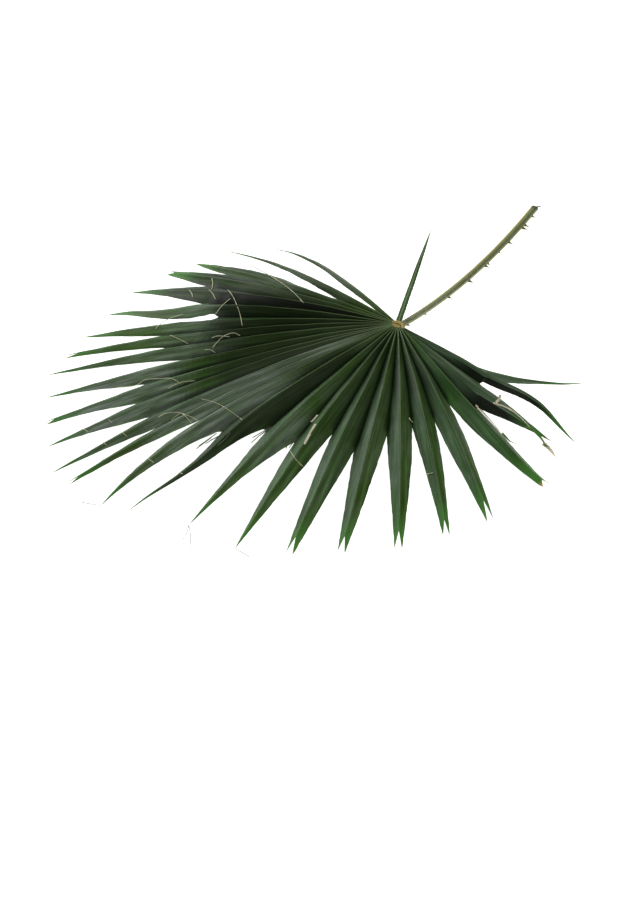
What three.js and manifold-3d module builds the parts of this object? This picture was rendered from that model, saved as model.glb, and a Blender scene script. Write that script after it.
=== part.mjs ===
// A cut leaf of a fan palm, laid on a flat surface with the crests of its pleats up.
// The blade is one pleated sheet, joined round the hub and split into pointed segments further
// out. A narrow stalk with hooked thorns leaves the hub on the side that has no segments, and a
// small tan ridge, the hastula, stands where the stalk meets the blade.
// Millimetres, +Z up. The origin is on the surface, under the middle of the leaf's outline.
import * as THREE from 'three';
import Module from 'manifold-3d';

const wasm = await Module();
wasm.setup();

// Place of the hub, where every crest starts, and the ring on which the pleats begin.
const HUB = new THREE.Vector3(96, 16.5, 71);
const RING_RADIUS = 7;
const RIM_STEP = 16; // degrees between the points of the hub's edge where it has no segments
const RIM_RADIUS = 2.2; // of that edge over the stalk

// The sheet of the blade.
const BLADE_DROP = 1.3; // thickness measured straight down, so a pleat's flank is about 0.9
// How far an edge lies below its crest, per unit across: near the hub, and further out, where the
// pleats open, most on the far left of the leaf and least on its near right.
const FOLD_AT_HUB = 0.95;
const FOLD_LONE = 0.12; // the lone segment is nearly flat
const FOLD_LEFT = 0.1;
const FOLD_RIGHT = 0.75;
const LEFT_DIRECTION = 125; // degrees, where the pleats open most
const RIGHT_DIRECTION = 240; // degrees, from where on they open least
const OPENS_FROM = 0.3; // shares of a segment's length between which its pleat opens
const OPENS_TO = 0.75;
const TIP_HEIGHT = 3.0; // crest height at a tip that lies on the surface
const STATIONS = 18; // steps along a segment
const BOW_FROM = 0.5; // share of the reach from which a segment bows
const LOOK_AHEAD = 0.01; // share of the length over which a crest's direction is taken
const MERGE_STEP = 0.005; // points nearer than this are one

// The free outline of a segment.
// Shares of the free stretch in which an edge reaches its full width, growing and shrinking.
const SETTLE_OUT = 0.35;
const SETTLE_IN = 0.75;
const FORK_WIDTH = 0.28; // share of the width that a forked tip keeps
const OPEN_ROOT = 0.22; // share of the width that an edge with no neighbour has at the hub
const OPEN_SWELL = 0.38; // share of the length by which it has grown to the full width
const OPEN_TAPER = 0.3; // share of the length from which it narrows

// One row for each joined segment, anticlockwise seen from above, starting beside the stalk.
// Degrees are plan directions from the hub, with +X at 0. Other sizes are in millimetres.
// [direction at the hub, direction at the tip, power of that bend, power of the arch, length,
//  split from the next segment, greatest half width, depth of the forked tip, lift of the tip,
//  power of the narrowing towards the tip, degrees by which its outer part bows sideways]
const SEGMENTS = [
  [125, 121.5, 0.6, 2.2, 269, 36, 5.4, 0, 0, 1.25, 0],
  [137, 131.5, 0.6, 2.1, 296.5, 84, 6.4, 0, 2, 1.25, 0],
  [145, 139.3, 1.0, 2.0, 308.5, 170, 12.6, 0, 0, 3.0, 0],
  [151, 145.5, 0.8, 2.0, 321, 243, 14.2, 9, 2, 2.0, 0],
  [156, 154.8, 1.0, 2.2, 339.5, 228, 13, 0, 2, 1.8, 0],
  [165, 163.4, 1.0, 2.6, 351, 212, 14.2, 0, 3, 1.8, 2.3],
  [169.5, 170.3, 1.0, 1.8, 368, 266, 12.8, 0, 0, 1.4, 0],
  [176, 176.4, 1.0, 1.8, 385, 267, 9.7, 18, 2, 1.1, 0],
  [182.5, 181.3, 1.0, 1.8, 404, 244, 11, 0, 0, 1.25, 0],
  [190, 187.6, 1.0, 1.8, 408, 296, 10.9, 0, 2, 1.25, 0],
  [194.9, 193.5, 1.0, 1.8, 417, 306, 9.6, 12, 0, 1.25, 0],
  [197.9, 199.9, 1.0, 1.8, 428, 308, 9.5, 0, 2, 1.6, 0],
  [203.0, 205.8, 1.0, 1.8, 442, 308, 8.6, 0, 0, 1.25, 0],
  [207.5, 209, 1.0, 1.8, 432, 259, 7.6, 14, 0, 1.25, 0],
  [212, 216.9, 3.2, 1.8, 427, 252, 15.5, 0, 2, 0.85, 0],
  [218.6, 220.4, 1.0, 1.8, 407, 211, 11, 0, 0, 0.62, 1.6],
  [230, 230.3, 1.0, 1.8, 376, 209, 15.3, 0, 0, 0.85, 0],
  [240.5, 240.7, 1.0, 1.8, 383, 182, 15.5, 0, 0, 1.25, 0],
  [251, 249.8, 1.0, 1.8, 363, 198, 15.5, 22, 0, 1.25, 0],
  [261.5, 259, 1.0, 1.8, 345, 169, 15.5, 20, 0, 1.25, 0],
  [272, 270, 1.0, 1.8, 332, 156, 15.5, 22, 0, 1.25, 0],
  [282.5, 280.2, 1.0, 1.8, 313, 151, 13.8, 19, 1, 1.25, 0],
  [292, 290.8, 1.0, 1.8, 300, 127, 15, 26, 0, 1.25, 0],
  [302.4, 308.6, 2.0, 1.8, 272, 142, 17, 6, 0, 1.25, 0],
  [305.5, 322.5, 0.9, 2.0, 222, 124, 15, 0, 2, 1.25, 0],
  [308.5, 326.4, 0.3, 2.6, 246, 110, 6.4, 0, 0, 1.9, 3.2],
  [311, 353, 1.0, 1.35, 216, 0, 6, 0, 2, 1.25, 0],
];
// The lone narrow segment beside the stalk, whose neighbours are missing.
const LONE = [81.4, 81.4, 1.0, 1.0, 266, 0, 3.0, 0, 4, 2.2, 0];
const LONE_ROOT = 1.15; // share of its width at the hub

// The stalk, from under the hub to its cut end, and its thorns.
const STALK_DIRECTION = 62.5;
const STALK_LENGTH = 347.5;
const STALK_FLAT = 0.94; // share of the length after which it lies on the surface
const STALK_FALL = 1.9; // power of its fall to the surface
const STALK_TOP = 65.8; // height of its middle under the hub
const STALK_HALF_WIDTH = 4.3;
const STALK_HALF_THICK = 2.8;
const STALK_SIDES = 12;
const STALK_STEPS = 30;
const STALK_TUCK = 4; // reach past the hub, under the blade
const STALK_TUCK_SIZE = 0.55; // size of its section there
const THORNS_RIGHT = [16, 60, 120, 171, 213, 219, 248, 273, 307, 313, 332];
const THORNS_LEFT = [34, 82, 136, 180, 222, 246];
const THORN_LENGTH = 6;
const THORN_SINK = 1.6; // depth of its root in the stalk
const THORN_ROOT = 3; // half width at the root, along the stalk
const THORN_TIP = 0.1; // share of that width at the point
const THORN_FLATNESS = 0.6; // thickness against width
const THORN_HOOK = 1.3; // how far the point bends towards the cut end
const THORN_STEPS = 3;
const THORN_DOWN_RIGHT = 0.3; // fall of a thorn per unit outward, on the near margin
const THORN_DOWN_LEFT = 1.5; // and on the far one, whose thorns are turned down
const THORN_SIZES_RIGHT = [0.9, 0.75, 1, 1.2, 1.1]; // taken in turn
const THORN_SIZES_LEFT = [0.8, 0.9];

// The tan ridge, an arc across the hub where the stalk ends, with its hollow side to the blade.
const RIDGE_CENTRE = new THREE.Vector3(-3.5, -8.5, 1.4); // of the arc, from the hub
const RIDGE_RADIUS = 9.9;
const RIDGE_FROM = -18; // degrees
const RIDGE_TO = 108;
const RIDGE_HALF_WIDTH = 2.3;
const RIDGE_HALF_HEIGHT = 1.1;
const RIDGE_END_SIZE = 0.7; // size of its section at both ends
const RIDGE_STEPS = 8;
const RIDGE_SIDES = 8;

const leafGreen = new THREE.MeshStandardMaterial({ color: 0x24402a, roughness: 0.45, metalness: 0 });
const stalkGreen = new THREE.MeshStandardMaterial({ color: 0x69765a, roughness: 0.5, metalness: 0 });
const ridgeTan = new THREE.MeshStandardMaterial({ color: 0xa68a4c, roughness: 0.6, metalness: 0 });

const radians = THREE.MathUtils.degToRad;
const lerp = THREE.MathUtils.lerp;
const smooth = THREE.MathUtils.smoothstep;

function segment([start, end, bend, arch, length, split, halfWidth, fork, lift, narrowing, bow]) {
  return { start, end, bend, arch, length, split, halfWidth, fork, lift, narrowing, bow };
}

const joined = SEGMENTS.map(segment);
const lone = segment(LONE);

// A point of a segment's crest. Share runs from 0 on the ring to 1 at the tip.
function crest(seg, share) {
  const reach = lerp(RING_RADIUS, seg.length, share);
  const way = reach / seg.length;
  const bow = seg.bow * Math.sin(Math.PI * smooth(way, BOW_FROM, 1));
  const turn = radians(lerp(seg.start, seg.end, way ** seg.bend) + bow);
  const tip = TIP_HEIGHT + seg.lift;
  const height = tip + (HUB.z - tip) * (1 - way ** seg.arch);
  return new THREE.Vector3(HUB.x + reach * Math.cos(turn), HUB.y + reach * Math.sin(turn), height);
}

// The fall of a flank per unit across: steep near the hub, opening towards the tip.
function foldSlope(seg, share) {
  const open = lerp(FOLD_LEFT, FOLD_RIGHT, smooth(seg.end, LEFT_DIRECTION, RIGHT_DIRECTION));
  const atHub = seg === lone ? FOLD_LONE : FOLD_AT_HUB;
  return lerp(atHub, open, smooth(share, OPENS_FROM, OPENS_TO));
}

// A point of the valley between two neighbours, midway between their crests and lower.
function valley(left, right, share) {
  const a = crest(left, share);
  const b = crest(right, share);
  const half = Math.hypot(a.x - b.x, a.y - b.y) / 2;
  const point = a.add(b).multiplyScalar(0.5);
  const slope = (foldSlope(left, share) + foldSlope(right, share)) / 2;
  point.z = Math.max(point.z - slope * half, BLADE_DROP);
  return point;
}

// Which share of a segment is still joined to the neighbour on that side.
function joinedShare(seg, neighbour, split) {
  const length = (seg.length + neighbour.length) / 2;
  return (split - RING_RADIUS) / (length - RING_RADIUS);
}

// How the half width runs out towards the tip, on a side that is free from share `from` on.
function taper(seg, share, from) {
  const x = (share - from) / (1 - from);
  const atTip = seg.fork > 0 ? FORK_WIDTH : 0;
  return lerp(1, atTip, x ** seg.narrowing);
}

// The outer edge of one flank. Side is +1 for the side of the next segment and -1 for the other.
function margin(k, side, share) {
  const seg = joined[k];
  const neighbour = joined[k + side];
  const split = side > 0 ? seg.split : neighbour.split;
  const from = joinedShare(seg, neighbour, split);
  if (share <= from) {
    return valley(seg, neighbour, share);
  }
  const root = valley(seg, neighbour, from);
  const frame = crestFrame(seg, from, side);
  const offset = root.clone().sub(frame.point);
  const along = offset.dot(frame.along) * (1 - (share - from) / (1 - from));
  const start = offset.dot(frame.across);
  const settle = start > seg.halfWidth ? SETTLE_IN : SETTLE_OUT;
  const settled = smooth(share, from, from + settle * (1 - from));
  const across = lerp(start, seg.halfWidth, settled) * taper(seg, share, from);
  return freeEdge(seg, share, side, across, along);
}

// The outer edge of a flank that has no neighbour at all.
function openEdge(seg, side, share, root) {
  const rise = lerp(root, 1, smooth(share, 0, OPEN_SWELL));
  const across = seg.halfWidth * rise * taper(seg, Math.max(share, OPEN_TAPER), OPEN_TAPER);
  return freeEdge(seg, share, side, across, 0);
}

function freeEdge(seg, share, side, across, along) {
  const here = crestFrame(seg, share, side);
  const point = here.point.clone();
  point.addScaledVector(here.across, across).addScaledVector(here.along, along);
  point.z = Math.max(here.point.z - foldSlope(seg, share) * across, BLADE_DROP);
  return point;
}

// The level directions along and across a crest, with across pointing to the given side.
function crestFrame(seg, share, side) {
  const point = crest(seg, share);
  const ahead = crest(seg, share + LOOK_AHEAD);
  const along = new THREE.Vector3(ahead.x - point.x, ahead.y - point.y, 0).normalize();
  const across = new THREE.Vector3(-along.y * side, along.x * side, 0);
  return { point, along, across };
}

// A triangle list whose points are merged where they meet.
class Sheet {
  constructor() {
    this.points = [];
    this.triangles = [];
    this.known = new Map();
  }
  point(p) {
    const key = [p.x, p.y, p.z].map((v) => Math.round(v / MERGE_STEP)).join(' ');
    if (!this.known.has(key)) {
      this.known.set(key, this.points.length);
      this.points.push(p.clone());
    }
    return this.known.get(key);
  }
  triangle(a, b, c) {
    if (a !== b && b !== c && c !== a) {
      this.triangles.push([a, b, c]);
    }
  }
  // Splits a four-sided patch the same way on every row.
  patch(a, b, c, d) {
    this.triangle(a, b, c);
    this.triangle(a, c, d);
  }
}

// Adds one flank as a strip between the crest and its outer edge. Past the fork, the inner edge
// leaves the crest, so that the tip ends in two points.
function addFlank(sheet, seg, side, edge, splitShare) {
  const splitStation = splitShare > 0 ? Math.max(1, Math.round(splitShare * STATIONS)) : 0;
  const forkShare = 1 - seg.fork / seg.length;
  const inner = [];
  const outer = [];
  for (let i = 0; i <= STATIONS; i += 1) {
    let share = i / STATIONS;
    if (splitStation > 0) {
      share = i <= splitStation
        ? splitShare * i / splitStation
        : lerp(splitShare, 1, (i - splitStation) / (STATIONS - splitStation));
    }
    outer.push(edge(share));
    inner.push(crest(seg, i / STATIONS));
  }
  if (seg.fork > 0) {
    inner[STATIONS - 1] = crest(seg, forkShare);
    inner[STATIONS] = outer[STATIONS];
  }
  const a = inner.map((p) => sheet.point(p));
  const b = outer.map((p) => sheet.point(p));
  for (let i = 0; i < STATIONS; i += 1) {
    if (side > 0) {
      sheet.patch(a[i], a[i + 1], b[i + 1], b[i]);
    } else {
      sheet.patch(a[i], b[i], b[i + 1], a[i + 1]);
    }
  }
  return { innerStart: a[0], outerStart: b[0] };
}

// The solid between a sheet and its copy straight below it, with both faces split alike.
function thicken(sheet, drop) {
  const count = sheet.points.length;
  const positions = [];
  sheet.points.forEach((p) => positions.push(p.x, p.y, p.z));
  sheet.points.forEach((p) => positions.push(p.x, p.y, p.z - drop));
  const index = [];
  const edges = new Map();
  for (const [a, b, c] of sheet.triangles) {
    index.push(a, b, c, c + count, b + count, a + count);
    for (const [from, to] of [[a, b], [b, c], [c, a]]) {
      edges.set(`${from} ${to}`, [from, to]);
    }
  }
  for (const [from, to] of edges.values()) {
    if (!edges.has(`${to} ${from}`)) {
      index.push(from, from + count, to + count, from, to + count, to);
    }
  }
  return geometryOf(positions, index);
}

function geometryOf(positions, index) {
  const geometry = new THREE.BufferGeometry();
  geometry.setAttribute('position', new THREE.Float32BufferAttribute(positions, 3));
  geometry.setIndex(index);
  geometry.computeVertexNormals();
  return geometry;
}

// Every flank of the joined segments and of the lone one, and the small fan that closes the hub.
function bladeGeometry() {
  const sheet = new Sheet();
  const ring = [];
  const last = joined.length - 1;
  joined.forEach((seg, k) => {
    const before = k > 0 ? joinedShare(seg, joined[k - 1], joined[k - 1].split) : 0;
    const after = k < last ? joinedShare(seg, joined[k + 1], seg.split) : 0;
    const beforeEdge = k > 0 ? (s) => margin(k, -1, s) : (s) => openEdge(seg, -1, s, OPEN_ROOT);
    const afterEdge = k < last ? (s) => margin(k, 1, s) : (s) => openEdge(seg, 1, s, OPEN_ROOT);
    const first = addFlank(sheet, seg, -1, beforeEdge, before);
    const second = addFlank(sheet, seg, 1, afterEdge, after);
    ring.push(first.outerStart, first.innerStart, second.outerStart);
  });
  const lastTurn = joined[last].start;
  ring.push(...rim(sheet, lastTurn + RIM_STEP, lone.start + 360 - RIM_STEP, RIM_RADIUS));
  const first = addFlank(sheet, lone, -1, (s) => openEdge(lone, -1, s, LONE_ROOT), 0);
  const second = addFlank(sheet, lone, 1, (s) => openEdge(lone, 1, s, LONE_ROOT), 0);
  ring.push(first.outerStart, first.innerStart, second.outerStart);
  const gap = (joined[0].start - lone.start) / 2;
  ring.push(...rim(sheet, lone.start + gap, joined[0].start - gap, RING_RADIUS));
  const centre = sheet.point(HUB);
  ring.forEach((point, i) => sheet.triangle(centre, point, ring[(i + 1) % ring.length]));
  return thicken(sheet, BLADE_DROP);
}

// The bare edge of the hub between two directions, in even steps.
function rim(sheet, from, to, radius) {
  const steps = Math.ceil((to - from) / RIM_STEP);
  return Array.from({ length: steps + 1 }, (_, i) => {
    const turn = radians(lerp(from, to, i / Math.max(steps, 1)));
    const point = new THREE.Vector3(Math.cos(turn), Math.sin(turn), 0).multiplyScalar(radius);
    return sheet.point(point.add(HUB));
  });
}

// A closed skin over a row of rings with the same number of points each.
function loft(rings) {
  const sides = rings[0].length;
  const positions = [];
  const index = [];
  rings.flat().forEach((p) => positions.push(p.x, p.y, p.z));
  for (let r = 0; r + 1 < rings.length; r += 1) {
    for (let i = 0; i < sides; i += 1) {
      const a = r * sides + i;
      const b = r * sides + (i + 1) % sides;
      index.push(a, b, b + sides, a, b + sides, a + sides);
    }
  }
  const lastRing = (rings.length - 1) * sides;
  for (let i = 1; i + 1 < sides; i += 1) {
    index.push(0, i + 1, i);
    index.push(lastRing, lastRing + i, lastRing + i + 1);
  }
  return geometryOf(positions, index);
}

const stalkTurn = radians(STALK_DIRECTION);
const stalkAlong = new THREE.Vector3(Math.cos(stalkTurn), Math.sin(stalkTurn), 0);
const stalkRight = new THREE.Vector3(Math.sin(stalkTurn), -Math.cos(stalkTurn), 0);
const UP = new THREE.Vector3(0, 0, 1);
// Height of the stalk's middle where it lies on the flat between its two lowest points.
const stalkLow = STALK_HALF_THICK * Math.cos(Math.PI / STALK_SIDES);

// The middle of the stalk at a distance from the hub: it falls steeply, then lies flat.
function stalkMiddle(distance) {
  const fall = Math.max(0, 1 - distance / STALK_LENGTH / STALK_FLAT);
  const height = lerp(stalkLow, STALK_TOP, fall ** STALK_FALL);
  const point = new THREE.Vector3(HUB.x, HUB.y, height);
  return point.addScaledVector(stalkAlong, distance);
}

function stalkRing(distance, scale) {
  const middle = stalkMiddle(distance);
  const ring = [];
  for (let i = 0; i < STALK_SIDES; i += 1) {
    const angle = (i + 0.5) * 2 * Math.PI / STALK_SIDES;
    const point = middle.clone();
    point.addScaledVector(stalkRight, -scale * STALK_HALF_WIDTH * Math.cos(angle));
    point.addScaledVector(UP, scale * STALK_HALF_THICK * Math.sin(angle));
    ring.push(point);
  }
  return ring;
}

// One hooked thorn, rooted inside the stalk's edge and bent back towards the cut end.
function thorn(distance, side, size) {
  const down = side > 0 ? THORN_DOWN_RIGHT : THORN_DOWN_LEFT;
  const outward = stalkRight.clone().multiplyScalar(side).addScaledVector(UP, -down).normalize();
  const rootOut = side * (STALK_HALF_WIDTH - THORN_SINK);
  const root = stalkMiddle(distance).addScaledVector(stalkRight, rootOut);
  const reach = (THORN_LENGTH + THORN_SINK) * size;
  const rings = [];
  for (let step = 0; step <= THORN_STEPS; step += 1) {
    const out = step / THORN_STEPS;
    const centre = root.clone().addScaledVector(outward, reach * out);
    centre.addScaledVector(stalkAlong, THORN_HOOK * size * out * out);
    const width = THORN_ROOT * size * lerp(1, THORN_TIP, out);
    const flat = THORN_FLATNESS * width;
    rings.push([
      centre.clone().addScaledVector(stalkAlong, width),
      centre.clone().addScaledVector(UP, flat),
      centre.clone().addScaledVector(stalkAlong, -width),
      centre.clone().addScaledVector(UP, -flat),
    ]);
  }
  if (side < 0) {
    rings.forEach((ring) => ring.reverse());
  }
  return loft(rings);
}

function solidOf(geometry) {
  const mesh = new wasm.Mesh({
    numProp: 3,
    vertProperties: new Float32Array(geometry.getAttribute('position').array),
    triVerts: new Uint32Array(geometry.getIndex().array),
  });
  return new wasm.Manifold(mesh);
}

function geometryOfSolid(solid) {
  const mesh = solid.getMesh();
  return geometryOf(Array.from(mesh.vertProperties), Array.from(mesh.triVerts));
}

// The stalk's skin from under the hub to the cut end, with the thorns of both margins joined on.
function stalkGeometry() {
  const rings = [stalkRing(-STALK_TUCK, STALK_TUCK_SIZE)];
  for (let i = 0; i <= STALK_STEPS; i += 1) {
    rings.push(stalkRing(STALK_LENGTH * i / STALK_STEPS, 1));
  }
  let stalk = solidOf(loft(rings));
  THORNS_RIGHT.forEach((distance, i) => {
    const size = THORN_SIZES_RIGHT[i % THORN_SIZES_RIGHT.length];
    stalk = stalk.add(solidOf(thorn(distance, 1, size)));
  });
  THORNS_LEFT.forEach((distance, i) => {
    const size = THORN_SIZES_LEFT[i % THORN_SIZES_LEFT.length];
    stalk = stalk.add(solidOf(thorn(distance, -1, size)));
  });
  return geometryOfSolid(stalk);
}

// The ridge is a low arch over an arc, thin at both ends.
function ridgeGeometry() {
  const rings = [];
  for (let step = 0; step <= RIDGE_STEPS; step += 1) {
    const share = step / RIDGE_STEPS;
    const turn = radians(lerp(RIDGE_TO, RIDGE_FROM, share));
    const swell = lerp(RIDGE_END_SIZE, 1, Math.sin(Math.PI * share));
    const outward = new THREE.Vector3(Math.cos(turn), Math.sin(turn), 0);
    const middle = HUB.clone().add(RIDGE_CENTRE).addScaledVector(outward, RIDGE_RADIUS);
    const ring = [];
    for (let i = 0; i < RIDGE_SIDES; i += 1) {
      const angle = (i + 0.5) * 2 * Math.PI / RIDGE_SIDES;
      const point = middle.clone();
      point.addScaledVector(outward, RIDGE_HALF_WIDTH * swell * Math.cos(angle));
      point.addScaledVector(UP, RIDGE_HALF_HEIGHT * swell * Math.sin(angle));
      ring.push(point);
    }
    rings.push(ring);
  }
  return loft(rings);
}

const leaf = new THREE.Group();

function add(name, geometry, material) {
  const mesh = new THREE.Mesh(geometry, material);
  mesh.name = name;
  leaf.add(mesh);
}

add('blade', bladeGeometry(), leafGreen);
add('stalk', stalkGeometry(), stalkGreen);
add('hastula', ridgeGeometry(), ridgeTan);

export default leaf;
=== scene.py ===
"""The looks of a cut fan palm leaf that lies on the floor with the crests of its pleats up.

A finer blade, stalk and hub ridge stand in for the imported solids. The pale threads, the torn
fibres, the hairs at the tips and the loose slivers, which the solids leave out, are added.
Metres and +Z up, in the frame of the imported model.
"""
import math
import random
from collections import namedtuple
from functools import partial

import bmesh
import bpy
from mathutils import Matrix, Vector, noise
from mathutils.bvhtree import BVHTree


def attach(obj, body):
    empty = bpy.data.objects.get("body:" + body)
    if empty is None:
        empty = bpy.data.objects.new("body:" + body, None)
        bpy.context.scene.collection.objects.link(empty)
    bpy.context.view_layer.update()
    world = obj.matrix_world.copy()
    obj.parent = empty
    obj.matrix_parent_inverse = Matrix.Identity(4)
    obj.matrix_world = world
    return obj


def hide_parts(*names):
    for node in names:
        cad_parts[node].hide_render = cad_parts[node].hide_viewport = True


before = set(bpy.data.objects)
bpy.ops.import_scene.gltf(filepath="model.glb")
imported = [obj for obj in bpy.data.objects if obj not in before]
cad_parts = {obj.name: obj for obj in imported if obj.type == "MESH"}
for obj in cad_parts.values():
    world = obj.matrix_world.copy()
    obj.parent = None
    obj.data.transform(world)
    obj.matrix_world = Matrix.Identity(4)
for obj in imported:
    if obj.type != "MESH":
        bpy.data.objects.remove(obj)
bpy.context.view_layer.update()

MM = 0.001
UP = Vector((0, 0, 1))

# The hub, where every crest starts, and the ring on which the pleats begin.
HUB = Vector((96, 16.5, 71)) * MM
RING_RADIUS = 7 * MM
RIM_STEP = 16  # degrees between the points of the hub's edge where it has no segments
RIM_RADIUS = 2.2 * MM
LOWEST = 1.3 * MM  # of the blade's upper side
SHEET_DROP = 0.8 * MM  # thickness of the sheet, measured straight down
SHEET_MERGE = 0.01 * MM  # distance within which the blade's points become one
SHELL_MERGE = 0.002 * MM

# How the flanks fall away from their crest, per unit across. They open out along a segment,
# those of the upper left almost flat.
FOLD_AT_HUB = 0.95
FOLD_LONE = 0.12
FOLD_LEFT = 0.1
FOLD_RIGHT = 0.75
LEFT_DIRECTION = 125
RIGHT_DIRECTION = 240
OPENS_FROM = 0.3
OPENS_TO = 0.75

# How crests and outlines run, as shares of a segment's length or of its half width.
TIP_HEIGHT = 3.0 * MM
BOW_FROM = 0.5
LOOK_AHEAD = 0.01
SETTLE_OUT = 0.35  # of the free length, in which an edge widens to its own half width
SETTLE_IN = 0.75  # the same where it narrows
FORK_WIDTH = 0.28
OPEN_ROOT = 0.22
OPEN_SWELL = 0.38
OPEN_TAPER = 0.3
LONE_ROOT = 1.15

Segment = namedtuple("Segment", "start end bend arch length split half_width fork lift narrowing bow")

# One row for each joined segment, anticlockwise seen from above, starting beside the stalk.
# Degrees are plan directions from the hub, with +X at 0. Other sizes are in millimetres.
SEGMENT_ROWS = (
    (125, 121.5, 0.6, 2.2, 269, 36, 5.4, 0, 0, 1.25, 0),
    (137, 131.5, 0.6, 2.1, 296.5, 84, 6.4, 0, 2, 1.25, 0),
    (145, 139.3, 1.0, 2.0, 308.5, 170, 12.6, 0, 0, 3.0, 0),
    (151, 145.5, 0.8, 2.0, 321, 243, 14.2, 9, 2, 2.0, 0),
    (156, 154.8, 1.0, 2.2, 339.5, 228, 13, 0, 2, 1.8, 0),
    (165, 163.4, 1.0, 2.6, 351, 212, 14.2, 0, 3, 1.8, 2.3),
    (169.5, 170.3, 1.0, 1.8, 368, 266, 12.8, 0, 0, 1.4, 0),
    (176, 176.4, 1.0, 1.8, 385, 267, 9.7, 18, 2, 1.1, 0),
    (182.5, 181.3, 1.0, 1.8, 404, 244, 11, 0, 0, 1.25, 0),
    (190, 187.6, 1.0, 1.8, 408, 296, 10.9, 0, 2, 1.25, 0),
    (194.9, 193.5, 1.0, 1.8, 417, 306, 9.6, 12, 0, 1.25, 0),
    (197.9, 199.9, 1.0, 1.8, 428, 308, 9.5, 0, 2, 1.6, 0),
    (203.0, 205.8, 1.0, 1.8, 442, 308, 8.6, 0, 0, 1.25, 0),
    (207.5, 209, 1.0, 1.8, 432, 259, 7.6, 14, 0, 1.25, 0),
    (212, 216.9, 3.2, 1.8, 427, 252, 15.5, 0, 2, 0.85, 0),
    (218.6, 220.4, 1.0, 1.8, 407, 211, 11, 0, 0, 0.62, 1.6),
    (230, 230.3, 1.0, 1.8, 376, 209, 15.3, 0, 0, 0.85, 0),
    (240.5, 240.7, 1.0, 1.8, 383, 182, 15.5, 0, 0, 1.25, 0),
    (251, 249.8, 1.0, 1.8, 363, 198, 15.5, 22, 0, 1.25, 0),
    (261.5, 259, 1.0, 1.8, 345, 169, 15.5, 20, 0, 1.25, 0),
    (272, 270, 1.0, 1.8, 332, 156, 15.5, 22, 0, 1.25, 0),
    (282.5, 280.2, 1.0, 1.8, 313, 151, 13.8, 19, 1, 1.25, 0),
    (292, 290.8, 1.0, 1.8, 300, 127, 15, 26, 0, 1.25, 0),
    (302.4, 308.6, 2.0, 1.8, 272, 142, 17, 6, 0, 1.25, 0),
    (305.5, 322.5, 0.9, 2.0, 222, 124, 15, 0, 2, 1.25, 0),
    (308.5, 326.4, 0.3, 2.6, 246, 110, 6.4, 0, 0, 1.9, 3.2),
    (311, 353, 1.0, 1.35, 216, 0, 6, 0, 2, 1.25, 0),
)
# The lone narrow segment beside the stalk, whose neighbours are missing.
LONE_ROW = (81.4, 81.4, 1.0, 1.0, 266, 0, 3.0, 0, 4, 2.2, 0)

# The fineness of the blade's skin and its small relief.
STATIONS = 60  # steps along a segment
COLUMNS = (0, 0.045, 0.12, 0.25, 0.4, 0.56, 0.72, 0.87, 1)  # shares of the way to the outer edge
FAN_SHARES = (0, 0.35, 0.7)  # rows between the hub's centre and the ring
RIB_HEIGHT = 0.45 * MM
RIB_REACH = 0.7 * MM  # half width of the rib on a crest
RIB_FULL = 6 * MM  # width of a flank from which the rib has its full height
SWELL = 0.05  # rise of a flank's middle, per unit across
WAVE_SIZE = 0.7 * MM
WAVE_SCALE = 45  # per metre
WAVE_FROM = 0.02  # metres from the hub, between which the waves grow to full size
WAVE_TO = 0.1
CRUMPLE_SIZE = 1.1 * MM  # extra, where the sheet has been bent
CRUMPLE_SCALE = 120
CRUMPLE_FROM = 0.19  # metres from the hub, between which the sheet is crumpled
CRUMPLE_TO = 0.26
CRUMPLE_EASE = 0.3  # share of that strip in which the creases start, and in which they end
CRUMPLE_LEFT = 150  # degrees between which it is crumpled
CRUMPLE_RIGHT = 186
CRUMPLE_TURN = 8  # degrees in which they start and end
VALLEY_FADES = (-0.03, 0.02)  # shares before and after a split, between which the valley ends
# Flanks on which shade is painted, and below them flanks on which a pale sheen is painted,
# partly as wax: the side, which is 1 for the anticlockwise one, the directions at the hub and
# the millimetres from the hub between which they are, from which share across, and how much.
PAINTED_SHADE_ARCS = (
    (1, 154, 180, 0, 225, 0, 0.8),
    (-1, 159, 199, 0, 225, 0, 0.55),
    (1, 181, 199, 0, 225, 0, 0.55),
    (-1, 124, 146, 30, 330, 0, 0.4),
    (1, 124, 146, 60, 330, 0, 0.4),
    (-1, 147, 158, 40, 340, 0, 0.68),
    (1, 147, 158, 60, 340, 0, 0.6),
    (-1, 225, 302, 0, 115, 0, 0.6),
    (1, 225, 294, 0, 75, 0, 0.5),
    (1, 211, 213, 60, 130, 0, 0.5),
    (1, 217, 225, 60, 400, 0, 0.72),
    (-1, 217, 219, 200, 400, 0, 0.5),
    (1, 238, 252, 30, 230, 0, 0.3),
    (-1, 305, 306, 112, 230, 0.5, 0.97),
    (-1, 308, 309, 95, 230, 0.45, 0.95),
)
# Arcs of painted sheen, partly pale wax, on flanks where they catch the light.
WAX_AND_SHEEN_ARCS = (
    (1, 160, 188, 190, 260, 0, 0.6),
    (-1, 160, 188, 190, 260, 0, 0.45),
    (-1, 189, 200, 200, 250, 0, 0.3),
    (1, 181, 184, 260, 420, 0, 0.35),
    (1, 189, 201, 260, 420, 0, 0.9),
    (-1, 189, 204, 260, 420, 0, 0.5),
    (1, 202, 204, 340, 440, 0, 0.4),
    (1, 202, 208, 50, 330, 0, 0.85),
    (-1, 206, 213, 50, 345, 0, 0.9),
    (1, 211, 213, 150, 330, 0, 0.7),
    (-1, 214, 232, 150, 330, 0, 0.4),
    (1, 229, 231, 180, 270, 0, 0.55),
    (-1, 305, 306, 40, 230, 0, 0.4),
    (1, 290, 303, 10, 200, 0, 0.25),
    (1, 304, 312, 10, 230, 0, 0.7),
    (-1, 308, 312, 10, 230, 0, 0.45),
    (-1, 234, 300, 100, 300, 0, 0.16),
)
ARC_EASE = 25 * MM
NICK_SIZE = 0.55 * MM  # of the small teeth along a free edge
NICK_SCALE = 260
NICK_FROM = 1 * MM  # half widths between which the teeth grow to full size
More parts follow.
